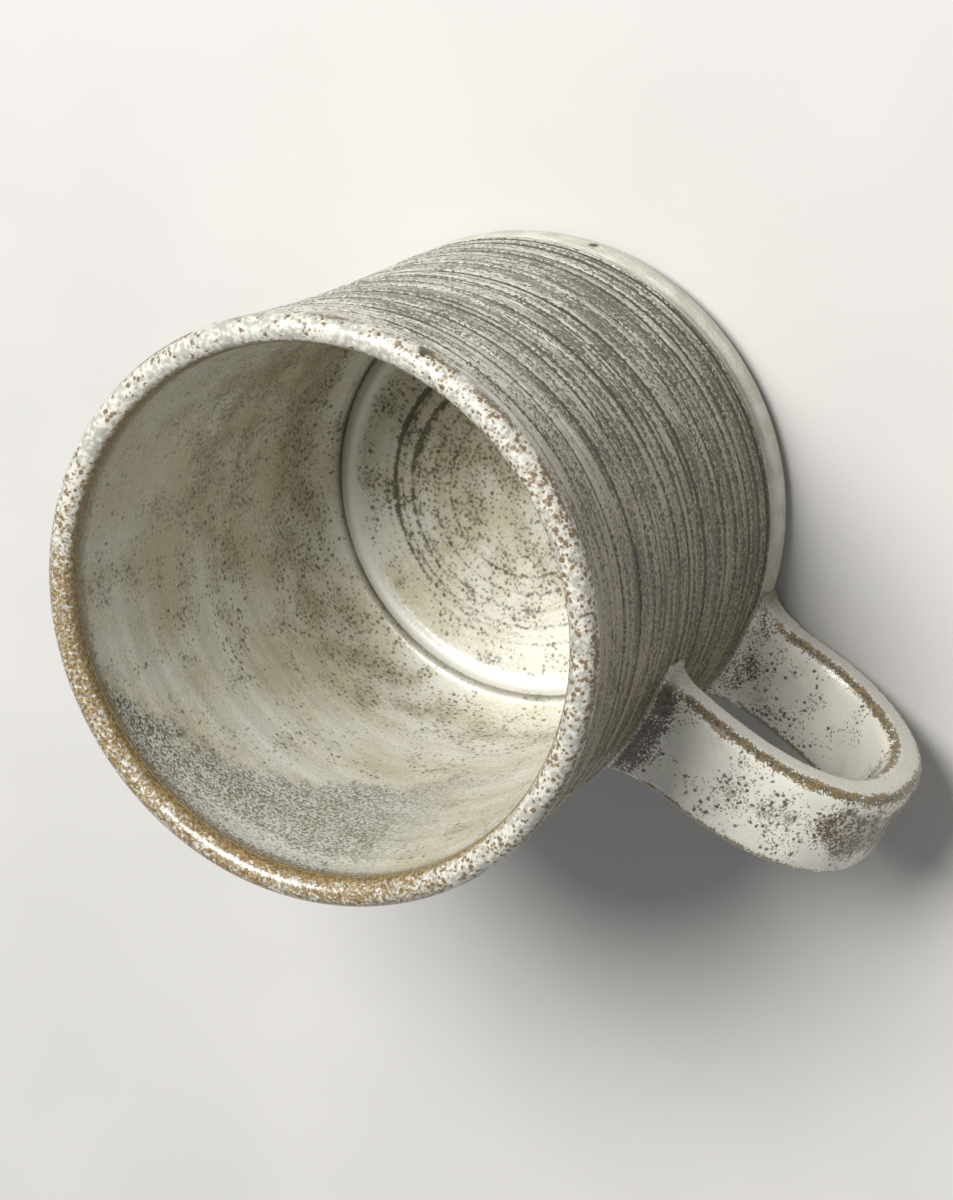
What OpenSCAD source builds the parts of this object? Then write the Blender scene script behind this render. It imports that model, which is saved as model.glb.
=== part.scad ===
// Stoneware mug: a thrown, slightly flared body with a pulled strap handle set low on the wall.
// The mug stands on its foot: +Z is up, the origin is the centre of the foot's underside,
// and the handle points along +X with its finger loop open along Y.

/* [Body] */
// Outer radius at the rim
rim_r = 45; // [38:0.5:55]
// Height from the foot to the top of the lip
body_h = 85.2; // [70:0.2:110]
// Outer radius at the waist of the wall
waist_r = 43; // [36:0.5:50]
// Height of the waist as a share of the body's height
waist_share = 0.45; // [0.3:0.05:0.6]
// Wall thickness at the lip
lip_t = 4.4; // [3:0.2:6]
// Wall thickness low on the wall
low_wall_t = 5.4; // [4:0.2:8]

/* [Foot and floor] */
// Outer radius of the rounded band at the foot
band_r = 43.4; // [37:0.2:50]
// Height of the rounded band
band_h = 8.2; // [4:0.2:12]
// Depth of the groove above the band
groove_d = 0.9; // [0.4:0.1:1.5]
// Radius of the face that the mug stands on
foot_r = 40.2; // [34:0.2:46]
// Inner radius of the standing ring
foot_inner_r = 33; // [20:0.5:34]
// Depth of the hollow inside the standing ring
foot_hollow = 1.2; // [0.6:0.2:2]
// Height of the inside floor at its middle
floor_z = 8.6; // [6:0.2:12]
// Radius where the inside wall meets the floor
floor_r = 34.4; // [30:0.2:36]

/* [Handle] */
// Width of the strap
strap_w = 16.6; // [14:0.2:24]
// Thickness of the strap
strap_t = 6; // [5:0.2:9]
// Corner radius of the strap's section
strap_corner = 2; // [1:0.1:2.4]
// Extra width of the strap at each root, both sides together
root_flare = 1.6; // [0:0.2:6]
// Extra thickness of the strap at each root, both faces together
root_swell = 1.6; // [0:0.2:3]
// How far out along the strap its extra width and thickness go
root_length = 12; // [6:0.5:16]
// How far the lower root stands to one side of the upper one, as on a strap bent by hand
side_step = 1.4; // [0:0.1:2]
// How far the middle of the strap stands from the mug's axis
handle_reach = 77.4; // [70:0.2:90]
// Height of the loop's middle above the foot
loop_z = 24.8; // [24:0.2:40]
// Half the distance between the two legs' middles
loop_half = 19.2; // [16:0.2:20]
// How far from the axis the legs begin to bend
bend_x = 53.5; // [50:0.5:60]
// Squareness of the loop's bend, where 2 is an ellipse
bend_power = 2.3; // [2:0.1:3.5]
// How far the loop leans towards the foot, per unit of length away from the wall
lean = 0.03; // [0:0.01:0.04]

/* [Slip joints] */
// How far each joint's clay reaches out along the strap
joint_reach = 5.5; // [3:0.5:7]
// How far each joint's clay spreads on the wall, past the strap
joint_spread = 2.2; // [1:0.1:2.4]

/* [Hidden] */

wall_steps = 26;
arc_steps = 8;
curve_steps = 30;
leg_steps = 8;
corner_steps = 4;

// Radius of the outside wall at height z: a waist, flaring to the rim above and the band below.
groove_z = band_h + 0.6;
waist_z = body_h * waist_share;
function wall_r(z) =
    z > waist_z
    ? waist_r + (rim_r - waist_r) * pow((z - waist_z) / (body_h - waist_z), 2.2)
    : waist_r + (band_r - waist_r) * pow((waist_z - z) / (waist_z - groove_z), 2);

// Wall thickness at height z.
function wall_t(z) = lip_t + (low_wall_t - lip_t) * pow((body_h - z) / body_h, 1.5);

function arc(cx, cz, rx, rz, a0, a1, n) =
    [for (i = [0:n]) let (a = a0 + (a1 - a0) * i / n) [cx + rx * cos(a), cz + rz * sin(a)]];

// Outside outline, from the foot up to the start of the lip.
lip_r = lip_t / 2;
lip_z = body_h - lip_r * 1.1;
function outside_wall() =
    [for (i = [0:wall_steps]) let (z = groove_z + 1.2 + (lip_z - groove_z - 1.2) * i / wall_steps)
        [wall_r(z), z]];

function band_outline() = concat(
    [[foot_r, 0]],
    arc(band_r - 2.6, band_h * 0.48, 2.6, band_h * 0.42, -58, 62, arc_steps),
    [[wall_r(groove_z) - groove_d, groove_z]]);

// Inside outline, from the lip down to the floor: wall, round corner, ring, floor.
corner_r = 9;
inner_low_r = floor_r + 3.2;
function inner_r(z) = wall_r(z) - wall_t(z);
function inside_wall() =
    [for (i = [0:wall_steps]) let (z = lip_z + (floor_z + corner_r - lip_z) * i / wall_steps)
        [inner_r(z), z]];
function inside_corner() =
    let (r = inner_r(floor_z + corner_r), w = r - floor_r)
    arc(floor_r, floor_z + corner_r, w, corner_r - 0.2, 0, -82, arc_steps);
ring_r = floor_r - 1.8;
ring_w = 1.3;
function floor_outline() = concat(
    [[floor_r, floor_z - 0.2]],
    arc(ring_r, floor_z, ring_w, 0.5, 0, 180, 6),
    [[ring_r - 6, floor_z - 0.6], [0, floor_z - 0.6]]);

function body_outline() = concat(
    [[0, foot_hollow], [foot_inner_r - foot_hollow, foot_hollow], [foot_inner_r, 0]],
    band_outline(),
    outside_wall(),
    arc(wall_r(lip_z) - lip_r, lip_z, lip_r, lip_r * 1.1, 10, 170, 12),
    inside_wall(),
    inside_corner(),
    floor_outline());

module body() {
    color("#cfc8b4") rotate_extrude($fn = 128) polygon(body_outline());
}

// Everything inside the outside wall, used to trim the pieces that are stuck to it.
module wall_core() {
    rotate_extrude($fn = 128) polygon(concat([[0, 0]], band_outline(), outside_wall(), [[0, lip_z]]));
}

// The middle of the strap, as [x, z] points from the upper root to the lower root.
root_x = waist_r - 3;
loop_a = handle_reach - bend_x;
function bend_point(t) =
    [bend_x + loop_a * pow(abs(sin(t)), 2 / bend_power),
     loop_z + loop_half * sign(cos(t)) * pow(abs(cos(t)), 2 / bend_power)];
level_path = concat(
    [for (i = [0:leg_steps - 1]) [root_x + (bend_x - root_x) * i / leg_steps, loop_z + loop_half]],
    [for (i = [0:curve_steps]) bend_point(180 * i / curve_steps)],
    [for (i = [1:leg_steps]) [bend_x + (root_x - bend_x) * i / leg_steps, loop_z - loop_half]]);
function leaning(p) = [p[0], p[1] - lean * (p[0] - waist_r)];
strap_path = [for (p = level_path) leaning(p)];

// Rounded rectangle, across the strap (u) and through it (v).
function section(w, t, r) =
    [for (q = [0:3]) for (i = [0:corner_steps])
        let (a = 90 * q + 90 * i / corner_steps,
             su = (q == 0 || q == 3) ? 1 : -1,
             sv = (q < 2) ? 1 : -1)
        [su * (w / 2 - r) + r * cos(a), sv * (t / 2 - r) + r * sin(a)]];

// Unit vector along the path at point i, from its neighbours.
function along(path, i) =
    let (a = path[max(i - 1, 0)], b = path[min(i + 1, len(path) - 1)], d = b - a)
    d / norm(d);

// How far the strap's middle stands to the side at height z.
function sideways(z) = side_step * (loop_z + loop_half - z) / (2 * loop_half);

// A solid through one section per path point; widths and thicknesses are lists.
module sweep(path, widths, depths, radius) {
    n = len(path);
    m = 4 * (corner_steps + 1);
    points = [for (i = [0:n - 1])
        let (d = along(path, i), ring = section(widths[i], depths[i], radius))
        for (p = ring)
            [path[i][0] - d[1] * p[1], p[0] + sideways(path[i][1]), path[i][1] + d[0] * p[1]]];
    sides = [for (i = [0:n - 2]) for (j = [0:m - 1])
        let (k = (j + 1) % m) [i * m + j, (i + 1) * m + j, (i + 1) * m + k, i * m + k]];
    caps = [[for (j = [0:m - 1]) j], [for (j = [m - 1:-1:0]) (n - 1) * m + j]];
    polyhedron(points = points, faces = concat(sides, caps), convexity = 6);
}

// The strap widens towards its roots.
function root_share(x) = pow(max(0, 1 - (x - root_x) / root_length), 1.6);
function strap_width(x) = strap_w + root_flare * root_share(x);
function strap_depth(x) = strap_t + root_swell * root_share(x);
strap_widths = [for (p = strap_path) strap_width(p[0])];
strap_depths = [for (p = strap_path) strap_depth(p[0])];

module strap() {
    sweep(strap_path, strap_widths, strap_depths, strap_corner);
}

module handle() {
    color("#d8d2c0") difference() {
        strap();
        wall_core();
    }
}

// Clay worked round a root of the strap: a collar that spreads onto the wall.
joint_steps = 6;
joint_edge = 0.35;
foot_gap = 1;
module below_foot_gap() {
    translate([0, -strap_w, -strap_w]) cube([2 * rim_r, 2 * strap_w, strap_w + foot_gap]);
}

module collar(z) {
    start = waist_r - 0.8;
    xs = [for (i = [0:joint_steps]) start + (joint_reach + 0.8) * i / joint_steps];
    path = [for (x = xs) leaning([x, z])];
    spread = [for (i = [0:joint_steps])
        joint_edge + (joint_spread - joint_edge) * pow(1 - i / joint_steps, 2.4)];
    widths = [for (i = [0:joint_steps]) strap_width(xs[i]) + 2 * spread[i]];
    depths = [for (i = [0:joint_steps]) strap_depth(xs[i]) + 2 * spread[i]];
    difference() {
        sweep(path, widths, depths, strap_corner);
        strap();
        wall_core();
        below_foot_gap();
    }
}

module upper_joint() {
    color("#b9a98c") collar(loop_z + loop_half);
}

module lower_joint() {
    color("#b9a98c") collar(loop_z - loop_half);
}

body();
handle();
upper_joint();
lower_joint();
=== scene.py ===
"""Looks of the stoneware mug: a thrown body with grooves, a strap handle and speckled glaze."""
import math

import bpy
import numpy as np
from mathutils import Matrix, Vector


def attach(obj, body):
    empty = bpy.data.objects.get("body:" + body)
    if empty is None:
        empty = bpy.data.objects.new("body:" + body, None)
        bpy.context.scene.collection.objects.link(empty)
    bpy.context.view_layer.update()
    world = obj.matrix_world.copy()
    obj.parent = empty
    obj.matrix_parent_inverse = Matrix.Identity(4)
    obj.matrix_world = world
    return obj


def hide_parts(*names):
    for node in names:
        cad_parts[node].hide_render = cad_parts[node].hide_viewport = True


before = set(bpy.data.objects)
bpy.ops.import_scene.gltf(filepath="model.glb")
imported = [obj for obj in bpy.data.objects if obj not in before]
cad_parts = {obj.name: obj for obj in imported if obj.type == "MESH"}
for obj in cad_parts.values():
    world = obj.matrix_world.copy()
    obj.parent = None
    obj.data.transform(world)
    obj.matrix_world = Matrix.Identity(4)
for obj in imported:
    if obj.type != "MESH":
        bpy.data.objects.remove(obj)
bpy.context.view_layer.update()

MM = 0.001
TURN = 2 * math.pi
rng = np.random.default_rng(427)

# Sizes in millimetres, the same as the CAD's.
RIM_R, BODY_H = 45.0, 85.2
WAIST_R, WAIST_Z = 43.0, BODY_H * 0.45
LIP_T, LOW_WALL_T = 4.4, 5.4
BAND_R, BAND_H = 43.4, 8.2
FOOT_R, FOOT_INNER_R, FOOT_HOLLOW = 40.2, 33.0, 1.2
FLOOR_Z, FLOOR_R, CORNER_R = 8.6, 34.4, 9.0
STRAP_W, STRAP_T, STRAP_CORNER = 16.6, 6.0, 2.0
ROOT_FLARE, ROOT_SWELL, ROOT_LENGTH = 1.6, 1.6, 12.0
SIDE_STEP = 1.4
REACH, LOOP_Z, LOOP_HALF = 77.4, 24.8, 19.2
BEND_X, BEND_POWER, LEAN = 53.5, 2.3, 0.03
ROOT_X = WAIST_R - 3
GROOVE_Z = BAND_H + 0.6
LIP_R = LIP_T / 2
LIP_Z = BODY_H - LIP_R * 1.1
FLOOR_RING_R = FLOOR_R - 2.1
SECOND_GROOVE_Z = GROOVE_Z + 2.3

# The joints' clay is a fillet here, so it reaches a little further than the CAD's collar.
JOINT_REACH = 5.6

# How finely the skins are divided: points round the body, and rings along the strap and a joint.
AROUND = 192
STRAP_RINGS, JOINT_RINGS = 200, 44

# Where things lie round the mug's axis, in degrees from the handle.
# The outside wall is painted darker on the side that faces this way: painted shade.
PAINTED_SHADE_SIDE = 15
MARKED_FLOOR, SPECKLED_FLOOR, SPECKLED_WALL = 165, 120, 185
SECOND_DIP, THIN_DIP, OCHRE_DIP = -112, -50, -150
PALE_DIP_BAND = -55
CLOSED_LIP, FLECKED_LIP, BARE_LIP_EDGE = -95, 40, 58
FOOT_SPOT, RIM_SPOT = 108, 98


# ---------------------------------------------------------------- shapes

def wall_r(z):
    """Outside radius at height z: a waist, flaring to the rim above and to the band below."""
    above = np.clip((z - WAIST_Z) / (BODY_H - WAIST_Z), 0, None) ** 2.2
    below = np.clip((WAIST_Z - z) / (WAIST_Z - GROOVE_Z), 0, None) ** 2
    return WAIST_R + (RIM_R - WAIST_R) * above + (BAND_R - WAIST_R) * below


def wall_t(z):
    """Thickness of the wall at height z."""
    return LIP_T + (LOW_WALL_T - LIP_T) * np.clip((BODY_H - z) / BODY_H, 0, None) ** 1.5


def arc(cx, cz, rx, rz, a0, a1, n):
    """Points of an ellipse's arc between two angles in degrees."""
    a = np.radians(np.linspace(a0, a1, n))
    return np.c_[cx + rx * np.cos(a), cz + rz * np.sin(a)]


def bell(x, centre, width):
    """1 at the centre, falling smoothly to 0 on both sides."""
    return np.exp(-(((x - centre) / width) ** 2))


def step(x, low, high):
    """0 below low, 1 above high, and smooth between."""
    t = np.clip((x - low) / (high - low), 0, 1)
    return t * t * (3 - 2 * t)


def facing(angle, degrees):
    """1 where the angle round the axis faces this way, 0 on the far side."""
    return 0.5 + 0.5 * np.cos(angle - math.radians(degrees))


def loft(rings):
    """Vertices and faces of a closed skin through rings of equal length, with a cap at each end."""
    rings = np.asarray(rings)
    n, m = rings.shape[:2]
    index = np.arange(n * m).reshape(n, m)
    a, b = index[:-1], index[1:]
    quads = np.stack([a, np.roll(a, -1, 1), np.roll(b, -1, 1), b], -1).reshape(-1, 4).tolist()
    caps = [index[0][::-1].tolist(), index[-1].tolist()]
    return rings.reshape(-1, 3), quads + caps


def make_piece(name, rings, material, node, values):
    """A smooth skin through the rings; values are what the glaze needs to know at each point."""
    vertices, faces = loft(rings)
    mesh = bpy.data.meshes.new(name)
    mesh.from_pydata((vertices * MM).tolist(), [], faces)
    mesh.polygons.foreach_set("use_smooth", [True] * len(mesh.polygons))
    for key, value in values.items():
        layer = mesh.attributes.new(key, "FLOAT", "POINT")
        spread = np.broadcast_to(value, rings.shape[:2])
        layer.data.foreach_set("value", spread.astype(np.float32).ravel())
    mesh.materials.append(material)
    mesh.update()
    piece = bpy.data.objects.new(name, mesh)
    bpy.context.scene.collection.objects.link(piece)
    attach(piece, "root")
    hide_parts(node)


class Grooves:
    """Throwing grooves at irregular heights, each with its own depth, width, wobble and fading."""

    def __init__(self, low, high, gap, depth, width):
        places = [low]
        while places[-1] < high:
            places.append(places[-1] + rng.uniform(*gap))
        n = len(places)
        self.place = np.array(places)
        self.depth = rng.uniform(*depth, n) * rng.choice([0.5, 0.8, 1.0, 1.25], n)
        self.width = rng.uniform(*width, n)
        self.wobble = rng.uniform(0.15, 0.5, n)
        self.phase = rng.uniform(0, TURN, (n, 3))
        self.fade = rng.uniform(0.1, 0.7, n)

    def at(self, s, angle):
        """How deep the grooves are at height s and this angle."""
        total = np.zeros(np.broadcast(s, angle).shape)
        for place, depth, width, wobble, phase, fade in zip(
                self.place, self.depth, self.width, self.wobble, self.phase, self.fade):
            wander = np.sin(angle + phase[0]) + 0.4 * np.sin(3 * angle + phase[1])
            centre = place + wobble * wander
            strength = 1 - fade * (0.5 + 0.5 * np.sin(2 * angle + phase[2]))
            total += depth * strength * bell(s, centre, width)
        return total


def body_outline():
    """Rows of [r, z] from the foot over the lip to the floor inside, and the zone of each row."""
    wall_z = np.linspace(GROOVE_Z - 0.5, LIP_Z - 0.2, 236)
    inside_z = np.linspace(LIP_Z - 0.5, FLOOR_Z + CORNER_R, 70)
    inside = np.c_[wall_r(inside_z) - wall_t(inside_z), inside_z]
    low_r = float(inside[-1, 0])
    floor_r = np.r_[np.linspace(FLOOR_R, 30, 40, endpoint=False), np.linspace(30, 0.01, 70)]
    hollow = [[r, FOOT_HOLLOW] for r in (0.01, 12, 24, FOOT_INNER_R - FOOT_HOLLOW)]
    ring = [[FOOT_INNER_R - 0.3, 0.25], [FOOT_INNER_R + 0.3, 0], [36.5, 0], [FOOT_R - 0.4, 0]]
    stretches = {
        "foot": np.array(hollow + ring, float),
        "band": arc(BAND_R - 2.6, BAND_H * 0.48, 2.6, BAND_H * 0.46, -64, 66, 22),
        "wall": np.c_[wall_r(wall_z), wall_z],
        "lip": arc(wall_r(LIP_Z) - LIP_R, LIP_Z, LIP_R, LIP_R * 1.1, 0, 180, 28),
        "inside": inside,
        "corner": arc(FLOOR_R, FLOOR_Z + CORNER_R, low_r - FLOOR_R, CORNER_R - 0.2, -6, -86, 18),
        "floor": np.c_[floor_r, np.full_like(floor_r, FLOOR_Z - 0.6)],
    }
    zones = [name for name, rows in stretches.items() for _ in rows]
    return np.concatenate(list(stretches.values())), np.array(zones)


def make_body(material):
    """The thrown body as one skin, with what its glaze needs to know at each point."""
    outline, zones = body_outline()
    angle = np.linspace(0, TURN, AROUND, endpoint=False)[None, :]
    r = np.repeat(outline[:, :1], AROUND, 1)
    z = np.repeat(outline[:, 1:], AROUND, 1)
    zone = {name: (zones == name)[:, None] for name in set(zones)}

    # Outside: fine grooves, two firm ones above the band, and the slow swell that fingers leave.
    grooves = Grooves(low=12.5, high=80, gap=(1.6, 3.4), depth=(0.12, 0.30), width=(0.24, 0.42))
    fine = grooves.at(z, angle)
    firm = 0.80 * bell(z, GROOVE_Z + 0.1, 0.55) + 0.42 * bell(z, SECOND_GROOVE_Z, 0.34)
    swell = 0.22 * np.sin(z * 0.93 + 0.5 * np.sin(angle))
    swell = swell + 0.12 * np.sin(z * 1.87 + 1 + 0.4 * np.sin(angle + 2))
    ends = step(z, GROOVE_Z + 1.5, GROOVE_Z + 5) * (1 - step(z, BODY_H - 7, BODY_H - 2))
    cut = fine * step(z, GROOVE_Z, GROOVE_Z + 3) * (1 - step(z, BODY_H - 5, BODY_H - 2)) + firm
    r = r - zone["wall"] * (cut - 0.5 * swell * ends + 0.06)

    # Inside: faint rings on the wall and a shallow hoop under the lip.
    faint = 0.06 * np.sin(z * 0.8 + angle) + 0.04 * np.sin(z * 1.9 + 0.7 * np.sin(angle))
    hoop = 0.22 * bell(z, BODY_H - 6.4 + 0.4 * np.sin(angle), 1.6)
    r = r + zone["inside"] * (faint * step(BODY_H - z, 3, 9) + hoop)

    # Floor: a seam, a thick raised ring, and a faint spiral with three broken rings.
    floor = zone["floor"]
    seam = bell(r, FLOOR_R - 0.1, 0.28)
    raised = bell(r, FLOOR_RING_R, 1.2)
    spiral_gap = 2.9
    turns = (r + 0.35 * np.sin(angle * 2 + 1)) / spiral_gap + angle / TURN
    spiral = (0.5 - 0.5 * np.cos(turns * TURN)) * (1 - step(r, 25, 29)) * step(r, 1.5, 6)
    outer_ring = bell(r, 24.2 + 0.3 * np.sin(angle + 0.5), 0.52)
    middle_ring = bell(r, 21.2 + 0.4 * np.sin(angle + 1.4), 0.52)
    inner_ring = bell(r, 18.3 + 0.3 * np.sin(angle), 0.4)
    broken = 0.25 + 0.75 * facing(angle, MARKED_FLOOR) ** 1.5
    rings = (outer_ring + 0.8 * middle_ring + 0.4 * inner_ring) * broken
    dish = 0.5 * step(r, 8, 30)
    z = z + floor * (0.9 * raised - 0.4 * seam - 0.09 * spiral - 0.22 * rings + dish - 0.5)

    # Lip: thrown by hand, so its height wavers.
    waver = 0.16 * np.sin(2 * angle + 0.6) + 0.08 * np.sin(5 * angle + 2)
    z = z + waver * step(z, BODY_H - 12, BODY_H) * ~floor

    lip_place = np.where(np.isin(zones, ["inside", "corner", "floor"]), 1.0, 0.0)
    lip_place[zones == "lip"] = np.linspace(0, 1, (zones == "lip").sum())
    rim_band = step(outline[:, 1:], BODY_H - 3.2, BODY_H - 1.7) * (zone["wall"] | zone["inside"])

    # Where the glaze inside has its crowds of specks.
    low_wall = step(z, 9, 14) * (1 - step(z, 20, 34)) * (0.35 + 0.65 * facing(angle, MARKED_FLOOR))
    far_wall = 0.8 * bell(z, 42, 16) * facing(angle, SPECKLED_WALL) ** 6
    middle = (1 - step(r, 16, 23)) * (0.50 + 0.50 * facing(angle, SPECKLED_FLOOR))
    middle = middle + broken * (0.55 * bell(r, 28.5, 2.4) + 0.35 * bell(r, 22.6, 2.2))
    seam_line = bell(r, FLOOR_R, 0.36) * floor + 0.8 * zone["corner"] * bell(z, FLOOR_Z - 0.1, 0.3)
    usual_cut = 0.24
    values = {
        "groove": np.clip(cut / usual_cut, 0, 1.4) * zone["wall"],
        "ridge": np.clip(grooves.at(z + 0.8, angle) / usual_cut, 0, 1.2) * zone["wall"],
        "band": zone["band"] | (zone["wall"] & (z < GROOVE_Z - 0.1)),
        "lip": np.maximum(zone["lip"], rim_band),
        "lip_place": lip_place[:, None],
        "inner": zone["inside"] | zone["corner"] | floor,
        "crowd": np.where(floor, middle, np.maximum(low_wall, far_wall)),
        "floor_seam": seam_line,
        "floor_lines": floor * np.clip(0.45 * spiral ** 5 * step(r, 8, 14) + rings, 0, 1),
        "thick": floor * np.clip(1.4 * bell(r, FLOOR_RING_R, 1.3), 0, 1),
        "clay": zone["foot"] | (zone["band"] & (z < 0.8)),
    }
    skin = np.stack([r * np.cos(angle), r * np.sin(angle), z], -1)
    make_piece("thrown_body", skin, material, "body", values)


# The strap: a rounded section carried along a D-shaped loop in the plane through the axis.

def even(path, n):
    """The same path with n points at equal distances."""
    run = np.r_[0, np.cumsum(np.linalg.norm(np.diff(path, axis=0), axis=1))]
    at = np.linspace(0, run[-1], n)
    return np.c_[np.interp(at, run, path[:, 0]), np.interp(at, run, path[:, 1])]


def strap_path():
    """The strap's middle as [x, z], from the upper root round the bend to the lower root."""
    t = np.linspace(0, math.pi, 120)
    bend_x = BEND_X + (REACH - BEND_X) * np.abs(np.sin(t)) ** (2 / BEND_POWER)
    bend_z = LOOP_Z + LOOP_HALF * np.sign(np.cos(t)) * np.abs(np.cos(t)) ** (2 / BEND_POWER)
    leg = np.linspace(ROOT_X, BEND_X, 26, endpoint=False)
    upper = np.c_[leg, np.full_like(leg, LOOP_Z + LOOP_HALF)]
    lower = np.c_[leg[::-1], np.full_like(leg, LOOP_Z - LOOP_HALF)]
    path = np.concatenate([upper, np.c_[bend_x, bend_z], lower])
    path[:, 1] -= LEAN * (path[:, 0] - WAIST_R)
    return even(path, STRAP_RINGS)


def section(width, depth, corner, n_corner=9, n_flat=9, n_side=5):
    """Rounded rectangle [across, through], and how near each of its points is to a corner."""
    points, near = [], []
    signs = [(1, 1), (-1, 1), (-1, -1), (1, -1)]
    middles = [np.array([su * (width / 2 - corner), sv * (depth / 2 - corner)]) for su, sv in signs]
    for k, middle in enumerate(middles):
        a = np.radians(np.linspace(90 * k, 90 * k + 90, n_corner))
        points.append(middle + corner * np.c_[np.cos(a), np.sin(a)])
        near.append(np.sin(np.linspace(0, math.pi, n_corner)) * 0.6 + 0.4)
        side = middles[(k + 1) % 4] - middle
        share = np.linspace(0, 1, (n_side if k % 2 else n_flat) + 2)[1:-1, None]
        points.append(points[-1][-1] + side * share)
        away = np.minimum(share[:, 0], 1 - share[:, 0]) * np.abs(side).max()
        near.append(0.4 * np.exp(-away / 0.5))
    return np.concatenate(points), np.concatenate(near)


def strap_skin(path, spread):
    """Rings of the strap along the path, and how near each point is to a corner and a broad face.

    spread(gap) is the extra clay at a distance gap from the wall; sideways there is half as much.
    """
    tangent = np.gradient(path, axis=0)
    tangent /= np.linalg.norm(tangent, axis=1)[:, None]
    rings, near_corner, broad = [], [], []
    for (x, z), (tx, tz) in zip(path, tangent):
        share = np.clip(1 - (x - ROOT_X) / ROOT_LENGTH, 0, None) ** 1.6
        width, depth = STRAP_W + ROOT_FLARE * share, STRAP_T + ROOT_SWELL * share
        flat, near = section(width, depth, STRAP_CORNER)
        across, through = 2 * flat[:, 0] / width, 2 * flat[:, 1] / depth
        crown = 0.35 * (1 - across ** 2)
        flat[:, 1] += crown * np.sign(through) * (np.abs(through) > 0.99)
        out = np.c_[across, through] ** 3
        out /= np.linalg.norm(out, axis=1)[:, None]
        side = SIDE_STEP * (LOOP_Z + LOOP_HALF - z) / (2 * LOOP_HALF)
        gap = np.hypot(x - tz * flat[:, 1], flat[:, 0] + side) - wall_r(z + tx * flat[:, 1])
        flat += out * spread(gap)[:, None] * [0.5, 1.0]
        rings.append(np.c_[x - tz * flat[:, 1], flat[:, 0] + side, z + tx * flat[:, 1]])
        near_corner.append(near)
        broad.append(step(np.abs(through), 0.55, 0.95))
    return np.array(rings), np.array(near_corner), np.array(broad)


def strap_values(rings, near_corner, broad):
    """What the strap's glaze needs: corners, broad faces, crowds of specks, the roots, and a dense
    crowd at the bend that also paints shade.
    """
    x, y, z = rings[..., 0], rings[..., 1], rings[..., 2]
    gap = np.hypot(x, y) - wall_r(z)
    drift = np.clip(-2.5 + 0.33 * (x - 54), -2.5, 1.8)
    outer_face = bell(y, drift, 3.4) * step(x, 50, 64) * (z > LOOP_Z - 8)
    # Real specks crowd at the outer bend, thickened there to stand for painted shade as well.
    bend_specks_and_shade = 1.7 * step(x, 71, 78) * bell(y, 1.5, 5.0)
    inner_face = 0.4 * bell(x, 55, 5) * (z < LOOP_Z) * bell(y, -4, 4)
    return {
        "edge": near_corner,
        "broad": broad,
        "crowd": np.maximum(outer_face, inner_face) + bend_specks_and_shade + 0.5 * (1 - step(gap, 3, 9)),
        "root": step(gap, 0.3, 0.7) * (1 - step(gap, 1.8, 6.5)) * np.where(z > LOOP_Z, 1.0, 0.6),
        "rib": broad * (1 - step(gap, 0.25, 0.55)) + 0.8 * (1 - broad) * (1 - step(gap, 0.4, 2.2)),
    }


def make_handle(path, material):
    """The strap, a little uneven along its length as a pulled handle is."""
    rings, near_corner, broad = strap_skin(path, np.zeros_like)
    s = np.arange(len(rings))[:, None]
    rings[..., 1] *= 1 + 0.012 * np.sin(s * 0.05 + 1) + 0.006 * np.sin(s * 0.13)
    rings[..., 2] += 0.10 * np.sin(s * 0.09 + rings[..., 1] * 0.25)
    values = strap_values(rings, near_corner, broad)
    make_piece("strap_handle", rings, material, "handle", values)


def fillet(gap):
    """Clay of a rounded joint at this distance from the wall, smooth to the strap and the wall."""
    left = np.clip(JOINT_REACH - gap, 0, JOINT_REACH)
    quarter_circle = JOINT_REACH - np.sqrt(JOINT_REACH ** 2 - left ** 2)
    return 0.5 * quarter_circle + 0.03


def make_joint(name, node, leg, material):
    """Clay worked round one root of the strap, kept clear of what the mug stands on."""
    near = leg[leg[:, 0] < WAIST_R + JOINT_REACH + 0.4]
    rings, near_corner, broad = strap_skin(even(near, JOINT_RINGS), fillet)
    rings[..., 2] = np.maximum(rings[..., 2], 0.9)
    values = strap_values(rings, near_corner * 0.8, broad)
    make_piece(name, rings, material, node, values)


# ---------------------------------------------------------------- glaze

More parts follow.
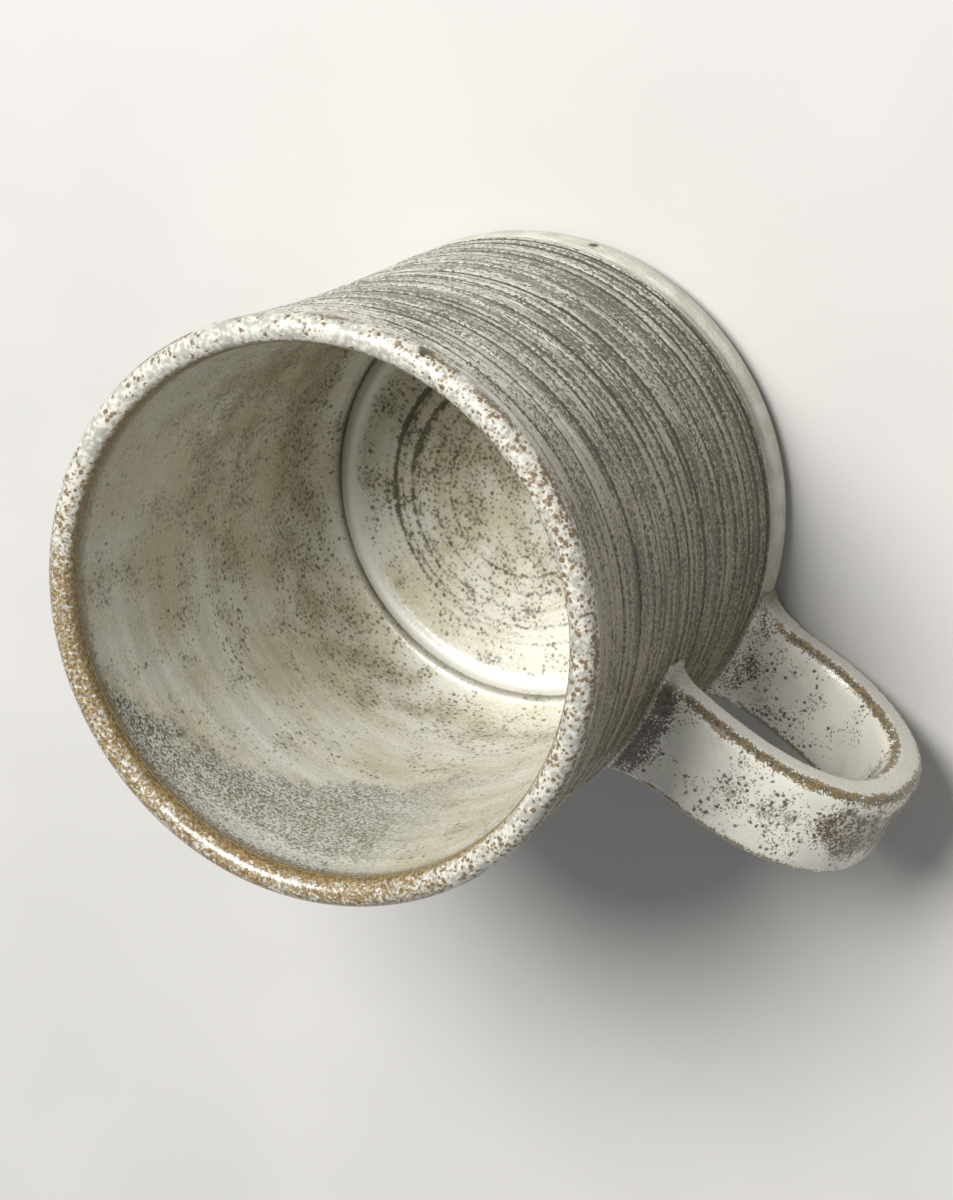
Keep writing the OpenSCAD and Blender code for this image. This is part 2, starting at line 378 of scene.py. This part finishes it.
class Graph:
    """Short names for the shader nodes that the glazes share. Coordinates are in millimetres."""

    def __init__(self, name):
        self.material = bpy.data.materials.new(name)
        self.material.use_nodes = True
        self.nodes = self.material.node_tree.nodes
        self.links = self.material.node_tree.links
        self.surface = self.nodes["Principled BSDF"]
        self.place = self.nodes.new("ShaderNodeTexCoord").outputs["Object"]

    def put(self, socket, value):
        """Link or set a socket, whichever the value calls for."""
        if isinstance(value, bpy.types.NodeSocket):
            self.links.new(value, socket)
        elif isinstance(value, tuple):
            socket.default_value = (*value, 1)
        else:
            socket.default_value = value

    def coords(self, scale=(1, 1, 1), shift=0.0):
        """Place on the object in millimetres, stretched and shifted."""
        node = self.nodes.new("ShaderNodeMapping")
        self.links.new(self.place, node.inputs["Vector"])
        node.inputs["Scale"].default_value = [s / MM for s in scale]
        node.inputs["Location"].default_value = [shift] * 3
        return node.outputs["Vector"]

    def noise(self, size, scale=(1, 1, 1), detail=3.0, rough=0.55, shift=0.0):
        """Noise with features about size millimetres across."""
        node = self.nodes.new("ShaderNodeTexNoise")
        self.links.new(self.coords(scale, shift), node.inputs["Vector"])
        node.inputs["Scale"].default_value = 1 / size
        node.inputs["Detail"].default_value = detail
        node.inputs["Roughness"].default_value = rough
        return node.outputs["Fac"]

    def value(self, name):
        """What make_piece stored at each point under this name."""
        node = self.nodes.new("ShaderNodeAttribute")
        node.attribute_name = name
        return node.outputs["Fac"]

    def axis(self, which):
        node = self.nodes.new("ShaderNodeSeparateXYZ")
        self.links.new(self.coords(), node.inputs[0])
        return node.outputs[which]

    def fade(self, x, low, high, out_low=0.0, out_high=1.0):
        """out_low below low, out_high above high, and smooth between."""
        node = self.nodes.new("ShaderNodeMapRange")
        node.interpolation_type = "SMOOTHSTEP"
        for socket, value in zip(node.inputs[:5], (x, low, high, out_low, out_high)):
            self.put(socket, value)
        return node.outputs[0]

    def math(self, operation, a, b):
        node = self.nodes.new("ShaderNodeMath")
        node.operation = operation
        self.put(node.inputs[0], a)
        self.put(node.inputs[1], b)
        return node.outputs[0]

    def times(self, *xs):
        out = xs[0]
        for x in xs[1:]:
            out = self.math("MULTIPLY", out, x)
        return out

    def plus(self, *xs):
        out = xs[0]
        for x in xs[1:]:
            out = self.math("ADD", out, x)
        return out

    def swing(self, x, amount):
        """x about its middle value of a half, scaled to swing by this amount."""
        return self.times(self.math("SUBTRACT", x, 0.5), amount)

    def blend(self, share, a, b):
        """Number a where share is 0 and b where it is 1."""
        node = self.nodes.new("ShaderNodeMix")
        for index, value in ((0, share), (2, a), (3, b)):
            self.put(node.inputs[index], value)
        return node.outputs[0]

    def mix(self, share, a, b):
        """Colour a where share is 0 and b where it is 1."""
        node = self.nodes.new("ShaderNodeMix")
        node.data_type = "RGBA"
        for index, value in ((0, share), (6, a), (7, b)):
            self.put(node.inputs[index], value)
        return node.outputs[2]

    def toward(self, degrees):
        """About 1 on the side of the mug that faces this angle, 0 on the other side."""
        return self.plus(self.times(self.along(degrees), 0.5 / RIM_R), 0.5)

    def along(self, degrees):
        """Distance from the axis in the direction of this angle round it."""
        a = math.radians(degrees)
        x, y = self.times(self.axis(0), math.cos(a)), self.times(self.axis(1), math.sin(a))
        return self.plus(x, y)

    def specks(self, size, crowd, share, shift, scale=(1, 1, 1)):
        """Separate ragged specks, in this share of the grains where crowd is 1, in none where 0."""
        grains = self.nodes.new("ShaderNodeTexVoronoi")
        self.links.new(self.coords(scale, shift), grains.inputs["Vector"])
        grains.inputs["Scale"].default_value = 1 / size
        chance = self.nodes.new("ShaderNodeSeparateColor")
        self.links.new(grains.outputs["Color"], chance.inputs[0])
        ragged = self.swing(self.noise(size * 0.6, scale, 2.0, shift=shift), 0.9)
        grown = self.fade(self.plus(grains.outputs["Distance"], ragged), 0.24, 0.52, 1.0, 0.0)
        # A grain shows where the crowd is more than the grain's own chance.
        lead = self.math("SUBTRACT", self.times(crowd, share), chance.outputs[0])
        return self.times(grown, self.fade(lead, 0.0, 0.06))

    def spot(self, degrees, radius, height, size, wobble):
        """One iron spot, at an angle round the axis, a distance from it, and a height."""
        a = math.radians(degrees)
        away = self.nodes.new("ShaderNodeVectorMath")
        away.operation = "DISTANCE"
        self.links.new(self.coords(), away.inputs[0])
        away.inputs[1].default_value = (radius * math.cos(a), radius * math.sin(a), height)
        ragged = self.plus(away.outputs["Value"], self.swing(wobble, size * 2))
        return self.fade(ragged, size * 0.7, size, 1.0, 0.0)

    def finish(self, colour, rough, height, depth, coat):
        """The material, with a bump of this depth in millimetres and this much clear coat."""
        bump = self.nodes.new("ShaderNodeBump")
        bump.inputs["Strength"].default_value = 1.0
        bump.inputs["Distance"].default_value = depth * MM
        self.put(bump.inputs["Height"], height)
        self.put(self.surface.inputs["Base Color"], colour)
        self.put(self.surface.inputs["Roughness"], rough)
        self.put(self.surface.inputs["Normal"], bump.outputs["Normal"])
        self.surface.inputs["Coat Weight"].default_value = coat
        self.surface.inputs["Coat Roughness"].default_value = 0.16
        return self.material


# Colours that the glazes share. Below, a pair is the two tones that one mix runs between.
CREAM = (0.63, 0.615, 0.55)
WARM_WHITE = (0.67, 0.66, 0.615)
GREY_CREAM = (0.43, 0.41, 0.32)
SAGE = (0.505, 0.470, 0.352)
TAUPE = (0.25, 0.22, 0.165)
SLATE = (0.135, 0.137, 0.115)
UMBER = (0.066, 0.050, 0.021)
RUST = (0.105, 0.060, 0.022)
OCHRE = (0.28, 0.195, 0.075)
OLIVE = (0.070, 0.060, 0.028)
BARE_CLAY = (0.36, 0.27, 0.18)

# Outside wall.
# Painted shade: the darker cream and grain on the shaded side of the outside wall.
PAINTED_SHADE_CREAM = (0.26, 0.225, 0.13)
PAINTED_SHADE_GRAIN = (0.024, 0.019, 0.008)
IRON = (0.05, 0.034, 0.012)
GROOVE_LINE = (0.05, 0.036, 0.016)

# Inside.
STAIN = (0.27, 0.235, 0.13)
DIP = (0.095, 0.10, 0.085), (0.55, 0.555, 0.51)
DIP_SPECK = (0.115, 0.070, 0.018)
# Painted shade on the inside wall just under the lip.
PAINTED_SHADE_UNDER_LIP = (0.15, 0.115, 0.06)

# Lip.
LIP_CREAM = (0.32, 0.315, 0.275), (0.53, 0.515, 0.45)
PALE_RUST = (0.17, 0.105, 0.036)
LIP_OCHRE = (0.12, 0.083, 0.034), (0.30, 0.215, 0.09)
EDGE_BROWN = (0.13, 0.09, 0.04)

# Strap.
STRAP_CREAM = (0.77, 0.74, 0.645), (0.66, 0.64, 0.565)
STRAP_SIDE = (0.60, 0.59, 0.53)
FAINT_SPECK = (0.12, 0.082, 0.036), (0.17, 0.175, 0.165)
STRONG_SPECK = (0.045, 0.035, 0.022), (0.12, 0.07, 0.026)
# Dense dark specks; at the strap's bend they also stand for painted shade.
CROWDED_SPECKS_AND_SHADE = (0.090, 0.056, 0.018)
CORNER_OCHRE = (0.035, 0.027, 0.012), (0.225, 0.145, 0.034)
ROOT_BROWN = (0.028, 0.019, 0.009), (0.10, 0.062, 0.024)
RIB = (0.28, 0.255, 0.185)

# The stage's floor.
PAINT = (0.50, 0.488, 0.468), (0.53, 0.517, 0.495)

# Grain stretched a little round the mug.
ALONG = (0.80, 0.80, 1.0)


def wall_glaze(g):
    """Outside: cream broken by fine dark grains in bands, with a dark line in each groove, and
    painted shade darkening one side.
    """
    fine = g.noise(0.46, ALONG, detail=2.5, rough=0.62, shift=7)
    lines = g.noise(1.1, (0.07, 0.07, 1.0), detail=2.5, rough=0.6)
    wide = g.noise(7.0, (0.45, 0.45, 1.3), shift=31)
    hue = g.noise(1.8, (0.5, 0.5, 1.0), rough=0.6, shift=3)
    groove = g.value("groove")
    # Painted shade: on one side of the outside wall the cream and the grains are painted darker and
    # browner.
    painted_shade_side = g.toward(PAINTED_SHADE_SIDE)
    ridge = g.times(g.value("ridge"), g.fade(hue, 0.36, 0.60, 0.1, 1.0))
    streaks = g.plus(g.swing(wide, 1.0), g.swing(lines, 1.3))
    thin = g.plus(streaks, g.times(groove, 0.2), g.times(ridge, -0.55))
    thin = g.plus(thin, g.fade(g.axis(2), 60.0, 80.0, 0.58, 0.38))
    grain = g.fade(g.plus(fine, g.swing(thin, 0.42)), 0.465, 0.55)
    painted_shade_mask = g.fade(g.plus(painted_shade_side, g.swing(wide, 0.4)), 0.55, 0.95)
    light = g.mix(painted_shade_mask, g.mix(g.fade(hue, 0.40, 0.62), CREAM, GREY_CREAM), PAINTED_SHADE_CREAM)
    dark = g.mix(g.fade(g.plus(hue, g.swing(painted_shade_side, -0.40)), 0.46, 0.56), UMBER, SLATE)
    dark = g.mix(g.times(painted_shade_mask, 0.6), dark, PAINTED_SHADE_GRAIN)
    colour = g.mix(g.times(grain, 0.90), light, dark)
    iron_crowd = g.fade(g.plus(thin, g.swing(wide, 1.0)), 0.3, 0.8)
    iron = g.specks(0.60, iron_crowd, share=0.45, shift=27)
    colour = g.mix(g.times(iron, 0.85), colour, IRON)
    colour = g.mix(g.fade(groove, 0.25, 0.80, 0.0, 0.90), colour, GROOVE_LINE)
    return colour, fine, lines


def inner_glaze(g):
    """Inside: smooth cream with crowds of olive specks, a greyer second dip on one side, and
    painted shade under the lip.
    """
    cloud = g.noise(14.0, shift=2)
    patch = g.noise(6.0, (1, 1, 0.8), shift=12)
    grain = g.noise(0.50, (0.7, 0.7, 1.0), detail=2.5, rough=0.6, shift=1)
    height = g.axis(2)
    crowd = g.plus(g.times(g.value("crowd"), 0.85), g.swing(patch, 3.0), 0.15)
    base = g.mix(g.fade(g.plus(cloud, g.swing(grain, 0.7)), 0.34, 0.66), SAGE, CREAM)
    stain = g.times(g.fade(crowd, 0.35, 1.1), g.fade(grain, 0.36, 0.60, 0.15, 0.60))
    colour = g.mix(stain, base, STAIN)
    small = g.specks(0.55, crowd, share=1.1, shift=5, scale=ALONG)
    colour = g.mix(g.times(small, 0.55), colour, OLIVE)
    large = g.specks(0.90, crowd, share=0.50, shift=8)
    colour = g.mix(g.times(large, 0.72), colour, OLIVE)
    # The second dip was taken at a slant, so its edge lies on a tilted plane.
    slant, slope = 20, 0.875
    plane = g.plus(height, g.times(g.along(slant), slope))
    dipped = g.fade(g.plus(plane, g.swing(patch, 16), g.swing(grain, 12)), 48.5, 53.0)
    dipped = g.times(dipped, g.fade(g.toward(SECOND_DIP), 0.62, 0.80))
    light_band = g.times(g.fade(height, 75.0, 78.0), g.fade(height, 81.5, 79.5))
    light_band = g.times(light_band, g.fade(g.toward(PALE_DIP_BAND), 0.75, 0.95))
    fleck = g.noise(0.38, ALONG, detail=2.0, rough=0.6, shift=47)
    pale = g.plus(g.fade(fleck, 0.43, 0.54, 0.0, 0.95), g.times(light_band, 0.5))
    dip = g.mix(pale, *DIP)
    ochre_crowd = g.plus(g.swing(patch, 1.8), g.fade(plane, 49.0, 62.0, 1.05, 0.50))
    ochre_crowd = g.plus(ochre_crowd, g.fade(g.toward(OCHRE_DIP), 0.80, 0.97, 0.0, 0.5))
    ochre_specks = g.specks(0.72, ochre_crowd, share=0.80, shift=9)
    dip = g.mix(g.times(ochre_specks, 0.9), dip, DIP_SPECK)
    cover = g.fade(g.toward(THIN_DIP), 0.55, 0.95, 0.95, 0.72)
    colour = g.mix(g.times(dipped, cover), colour, dip)
    # Painted shade: a dark olive-brown band on the inside wall just under the lip.
    painted_shade_under_lip = g.fade(g.plus(height, g.swing(grain, 5.0)), BODY_H - 5.0, BODY_H - 3.4)
    colour = g.mix(g.times(painted_shade_under_lip, 0.7), colour, PAINTED_SHADE_UNDER_LIP)
    drawn = g.plus(g.value("floor_lines"), g.swing(grain, 1.5), g.swing(patch, 0.5))
    lines = g.fade(drawn, 0.16, 0.70, 0.0, 0.92)
    colour = g.mix(lines, colour, OLIVE)
    colour = g.mix(g.value("thick"), colour, WARM_WHITE)
    seam = g.times(g.value("floor_seam"), g.fade(cloud, 0.3, 0.6, 0.95, 0.75))
    return g.mix(seam, colour, OLIVE), grain


def lip_glaze(g):
    """Lip: cream white with rust flecks, closing up to ochre with pale flecks on one side."""
    fleck = g.noise(0.55, detail=2.0, shift=4)
    fine = g.noise(0.40, detail=2.0, shift=17)
    patch = g.noise(5.0, shift=23)
    warm = g.fade(g.toward(CLOSED_LIP), 0.50, 0.86)
    mottle = g.noise(0.9, detail=2.5, rough=0.6, shift=51)
    pale = g.fade(g.plus(mottle, g.swing(patch, 0.5)), 0.38, 0.58)
    colour = g.mix(pale, *LIP_CREAM)
    flecked = g.fade(g.toward(FLECKED_LIP), 0.60, 0.95, 0.30, 1.0)
    crowd = g.plus(g.swing(patch, 3.4), flecked, g.times(warm, 0.7))
    flecks = g.math("MAXIMUM", g.specks(1.1, crowd, share=0.75, shift=11),
                    g.specks(0.7, crowd, share=0.70, shift=13))
    rust = g.mix(g.fade(fine, 0.44, 0.56), RUST, PALE_RUST)
    colour = g.mix(g.times(flecks, 0.92), colour, rust)
    ochre = g.mix(g.fade(fine, 0.42, 0.58), *LIP_OCHRE)
    limit = g.fade(warm, 0, 1, 0.72, 0.46)
    closed = g.fade(g.math("SUBTRACT", g.plus(fleck, g.swing(patch, 0.3)), limit), -0.03, 0.04)
    return g.mix(g.times(closed, 0.85), colour, ochre), fleck, warm


def body_glaze():
    """The body's glaze: outside, inside and lip, the smooth band, and bare clay underneath."""
    g = Graph("body_glaze")
    outside, fine, lines = wall_glaze(g)
    inside, grain = inner_glaze(g)
    lip, fleck, warm = lip_glaze(g)
    inner, on_lip, clay = g.value("inner"), g.value("lip"), g.value("clay")
    cloud = g.noise(3.5, ALONG, shift=41)
    smooth_band = g.mix(g.fade(cloud, 0.36, 0.66, 0.15, 0.75), CREAM, GREY_CREAM)
    colour = g.mix(inner, outside, inside)
    colour = g.mix(g.value("band"), colour, smooth_band)
    colour = g.mix(on_lip, colour, lip)
    # Glaze runs thin over the two edges of the lip and shows the iron in the clay.
    place = g.plus(g.value("lip_place"), g.swing(fleck, 0.30))
    patch = g.times(g.fade(g.toward(BARE_LIP_EDGE), 0.975, 0.998), 0.30)
    inner_edge = g.times(g.fade(g.plus(place, patch), 0.72, 0.86), on_lip, 0.9)
    outer_edge = g.times(g.fade(place, 0.02, 0.08), g.fade(place, 0.20, 0.12), on_lip,
                         g.fade(g.noise(8.0, shift=29), 0.47, 0.56, 0.0, 0.85))
    colour = g.mix(inner_edge, colour, g.mix(g.fade(fine, 0.42, 0.58), EDGE_BROWN, OCHRE))
    colour = g.mix(outer_edge, colour, RUST)
    foot_spot = g.spot(FOOT_SPOT, radius=43.4, height=4.8, size=0.9, wobble=fine)
    rim_spot = g.spot(RIM_SPOT, radius=44.8, height=83.2, size=1.3, wobble=fine)
    colour = g.mix(g.plus(foot_spot, rim_spot), colour, UMBER)
    colour = g.mix(clay, colour, BARE_CLAY)
    worn = g.plus(fine, g.times(inner, -0.10), g.times(warm, on_lip, -0.30))
    rough = g.fade(worn, 0.1, 0.8, 0.18, 0.60)
    rough = g.plus(rough, g.times(clay, 0.35))
    ridges = g.plus(lines, g.times(fine, 0.8))
    smooth = g.plus(g.times(grain, 0.22), g.times(fleck, 0.22))
    relief = g.blend(g.math("MAXIMUM", inner, on_lip), ridges, smooth)
    return g.finish(colour, rough, relief, depth=0.26, coat=0.18)


def strap_glaze(name, root_share):
    """Strap: bright cream with brown and black specks, and ochre where it thins at the corners.
    Specks crowd densely at the bend, partly real and partly painted shade.

    root_share is how much of the dark stain at the roots shows.
    """
    g = Graph(name)
    cloud = g.noise(7.0, shift=6)
    patch = g.noise(5.5, (1, 0.7, 1), detail=2.5, shift=15)
    fine = g.noise(0.36, rough=0.62, shift=9)
    edge, broad = g.value("edge"), g.value("broad")
    crowd = g.plus(g.times(g.value("crowd"), 0.9), g.swing(patch, 2.6), 0.08)
    warm = g.fade(g.plus(cloud, g.swing(fine, 0.5)), 0.36, 0.66)
    base = g.mix(warm, *STRAP_CREAM)
    small = g.specks(0.46, crowd, share=1.0, shift=21)
    large = g.specks(0.80, crowd, share=0.62, shift=3)
    hue = g.noise(1.6, shift=37)
    faint = g.mix(g.fade(hue, 0.45, 0.55), *FAINT_SPECK)
    strong = g.mix(g.fade(hue, 0.44, 0.56), *STRONG_SPECK)
    face = g.mix(g.times(large, 0.88), g.mix(g.times(small, 0.75), base, faint), strong)
    ragged = g.fade(g.plus(fine, g.swing(hue, 0.5)), 0.42, 0.56, 0.20, 0.92)
    # Where specks crowd most, the face turns dark brown; at the bend this is also painted shade.
    face = g.mix(g.times(g.fade(crowd, 0.75, 1.45), ragged), face, CROWDED_SPECKS_AND_SHADE)
    side = g.mix(g.fade(fine, 0.40, 0.66, 0.0, 0.6), STRAP_SIDE, GREY_CREAM)
    colour = g.mix(broad, side, face)
    thin = g.fade(g.plus(edge, g.swing(fine, 1.3), g.swing(hue, 0.9)), 0.70, 0.86)
    grainy = g.fade(g.plus(fine, g.swing(hue, 0.5)), 0.48, 0.55)
    colour = g.mix(g.times(thin, 0.92), colour, g.mix(grainy, *CORNER_OCHRE))
    root = g.fade(g.plus(g.value("root"), g.swing(fine, 2.6), g.swing(patch, 1.8)), 0.45, 0.75)
    root_side = g.mix(g.fade(fine, 0.42, 0.58), TAUPE, GREY_CREAM)
    root_face = g.mix(g.fade(fine, 0.46, 0.56), *ROOT_BROWN)
    root_colour = g.mix(broad, root_side, root_face)
    colour = g.mix(g.times(root, root_share), colour, root_colour)
    rib = g.mix(g.fade(fine, 0.44, 0.56), RIB, UMBER)
    colour = g.mix(g.times(g.value("rib"), 0.9), colour, rib)
    rough = g.fade(g.plus(fine, g.times(thin, -0.40)), 0.0, 0.8, 0.14, 0.50)
    relief = g.plus(g.times(fine, 0.55), g.times(cloud, 0.6), g.times(large, -0.3))
    return g.finish(colour, rough, relief, depth=0.15, coat=0.35)


# ---------------------------------------------------------------- stage

def make_camera():
    """A view into the mouth and along the outside, rolled so that the mug seems to lie down."""
    azimuth, elevation, roll = math.radians(156.6), math.radians(60.55), math.radians(-121.28)
    aim, distance = Vector((2.6, -19.8, 9.7)) * MM, 0.5815
    level = math.cos(elevation)
    back = Vector((math.sin(azimuth) * level, -math.cos(azimuth) * level, math.sin(elevation)))
    data = bpy.data.cameras.new("camera")
    data.lens = 105
    data.sensor_width = 36
    camera = bpy.data.objects.new("camera", data)
    camera.rotation_mode = "QUATERNION"
    turn = (-back).to_track_quat("-Z", "Y").to_matrix().to_4x4() @ Matrix.Rotation(roll, 4, "Z")
    camera.matrix_world = Matrix.Translation(aim + back * distance) @ turn
    bpy.context.scene.collection.objects.link(camera)
    bpy.context.scene.camera = camera


def area_light(name, direction, distance, size, power, colour):
    """A round soft light that shines at the origin from this direction."""
    data = bpy.data.lights.new(name, "AREA")
    data.shape = "DISK"
    data.size = size
    data.energy = power
    data.color = colour
    light = bpy.data.objects.new(name, data)
    light.location = Vector(direction).normalized() * distance
    light.rotation_mode = "QUATERNION"
    light.rotation_quaternion = (-light.location).to_track_quat("-Z", "Y")
    bpy.context.scene.collection.objects.link(light)


def make_stage():
    """A round pale floor, an even studio sky, a strong key light and a weak fill light."""
    floor_radius = 3.0
    steps = np.linspace(0, TURN, 96, endpoint=False)
    rim = np.c_[np.cos(steps), np.sin(steps), 0 * steps] * floor_radius
    mesh = bpy.data.meshes.new("floor")
    mesh.from_pydata(rim.tolist(), [], [list(range(len(rim)))])
    g = Graph("floor_paint")
    tone = g.fade(g.noise(60.0, detail=2.0), 0.3, 0.7)
    rough = g.fade(tone, 0, 1, 0.75, 0.85)
    mesh.materials.append(g.finish(g.mix(tone, *PAINT), rough, tone, depth=0.02, coat=0.0))
    floor = bpy.data.objects.new("floor", mesh)
    bpy.context.scene.collection.objects.link(floor)

    world = bpy.data.worlds.new("studio")
    world.use_nodes = True
    background = world.node_tree.nodes["Background"]
    background.inputs["Color"].default_value = (0.95, 0.97, 1.0, 1)
    background.inputs["Strength"].default_value = 0.30
    bpy.context.scene.world = world
    area_light("key", direction=(-0.38, 0.30, 0.88), distance=1.1, size=0.55, power=19,
               colour=(1.0, 0.995, 0.98))
    area_light("fill", direction=(0.6, -0.7, 0.45), distance=1.3, size=0.9, power=0.6,
               colour=(0.95, 0.97, 1.0))
    bpy.context.scene.view_settings.view_transform = "Standard"


make_camera()
make_stage()
make_body(body_glaze())
strap = strap_path()
leg_points = 70
make_handle(strap, strap_glaze("strap_glaze", root_share=0.85))
joint_glaze = strap_glaze("joint_glaze", root_share=0.92)
make_joint("upper_slip_joint", "upper_joint", strap[:leg_points], joint_glaze)
make_joint("lower_slip_joint", "lower_joint", strap[-leg_points:], joint_glaze)
